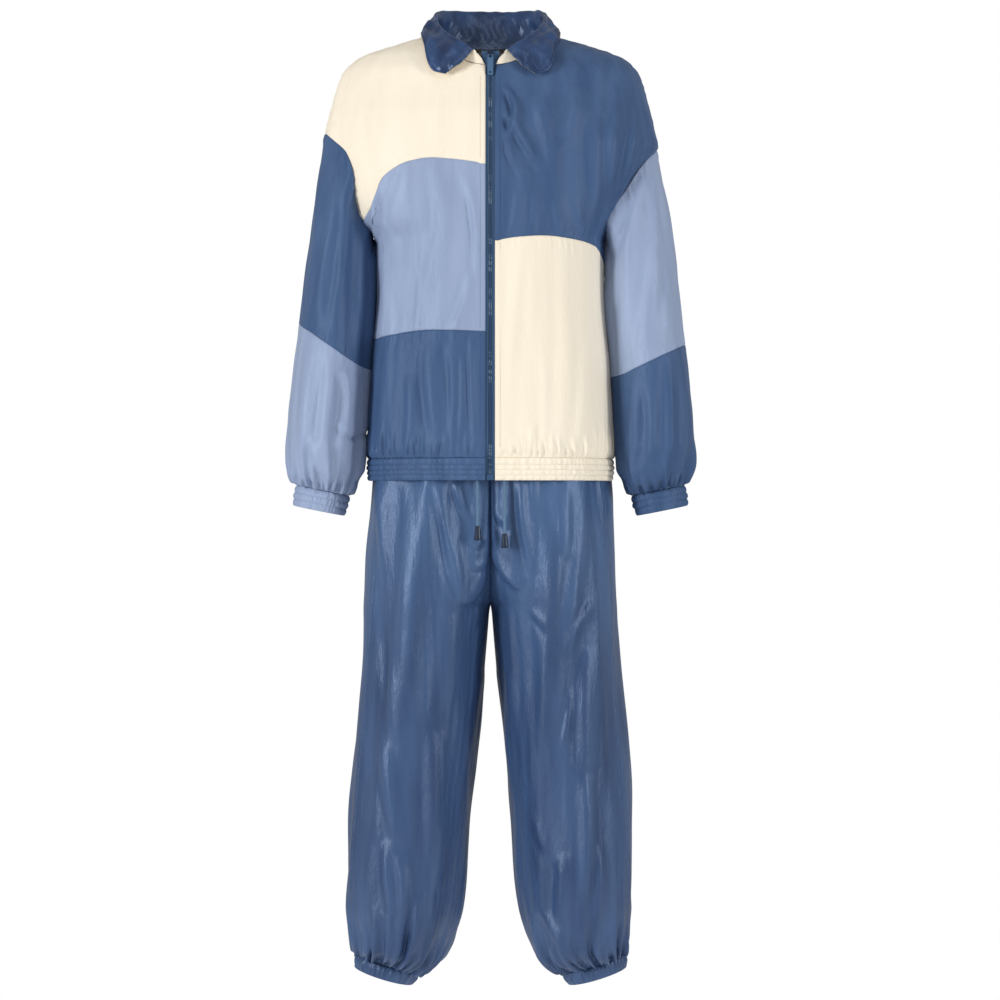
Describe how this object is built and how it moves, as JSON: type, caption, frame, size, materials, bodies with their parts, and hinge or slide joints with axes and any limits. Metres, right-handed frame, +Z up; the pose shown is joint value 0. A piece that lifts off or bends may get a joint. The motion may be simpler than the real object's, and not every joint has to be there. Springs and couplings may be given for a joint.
{
  "type": "tracksuit",
  "caption": "Colour-blocked zip tracksuit, filled out with no wearer: hollow jacket with fold-over collar and elastic hem and cuffs over trousers with drawcord and elastic ankles.",
  "frame": {"origin": "middle of the base of the wearer's neck, where the garment hangs from the shoulders", "axes": "+Z up, -Y the front, +X the wearer's left"},
  "size_m": [0.6086, 0.275, 1.4722],
  "materials": {
    "cream_cloth": "soft sheen, crisp woven nylon",
    "light_blue_cloth": "soft sheen, crisp woven nylon",
    "dark_blue_cloth": "soft sheen, crisp woven nylon",
    "slate_blue_cloth": "soft sheen, crisp woven nylon",
    "zip_tape": "woven tape, matt",
    "zip_plastic": "moulded coil, satin",
    "zip_metal": "enamelled, satin",
    "cord": "braided round cord",
    "cord_plastic": "moulded, glossy"
  },
  "bodies": {
    "suit": {"front_right_top": "cream_cloth", "front_left_bottom": "cream_cloth", "back_panel": "cream_cloth", "hem_band_left": "cream_cloth", "hem_band_back": "cream_cloth", "collar_under": "cream_cloth", "front_right_middle": "light_blue_cloth", "sleeve_right_lower": "light_blue_cloth", "cuff_right": "light_blue_cloth", "sleeve_left_upper": "light_blue_cloth", "front_right_bottom": "dark_blue_cloth", "front_left_top": "dark_blue_cloth", "hem_band_right": "dark_blue_cloth", "sleeve_right_upper": "dark_blue_cloth", "sleeve_left_lower": "dark_blue_cloth", "cuff_left": "dark_blue_cloth", "collar_top": "dark_blue_cloth", "trouser_front_right": "slate_blue_cloth", "trouser_back_right": "slate_blue_cloth", "trouser_front_left": "slate_blue_cloth", "trouser_back_left": "slate_blue_cloth", "waistband": "slate_blue_cloth", "leg_cuff_right": "slate_blue_cloth", "leg_cuff_left": "slate_blue_cloth", "zip_tape_right": "zip_tape", "zip_tape_left": "zip_tape", "zip_chain": "zip_plastic", "zip_bottom_stop": "zip_plastic", "zip_slider": "zip_metal", "eyelet_right": "zip_metal", "eyelet_left": "zip_metal", "drawcord_right": "cord", "drawcord_left": "cord", "cord_end_right": "cord_plastic", "cord_end_left": "cord_plastic"},
    "pull_tab": {"pull_tab": "zip_metal"}
  },
  "joints": [
    {"name": "pull_tab", "type": "hinge", "parent": "suit", "child": "pull_tab", "pos_m": [0, -0.0938, -0.0281], "axis": [-1, 0, 0], "range_deg": [0, 150]}
  ]
}
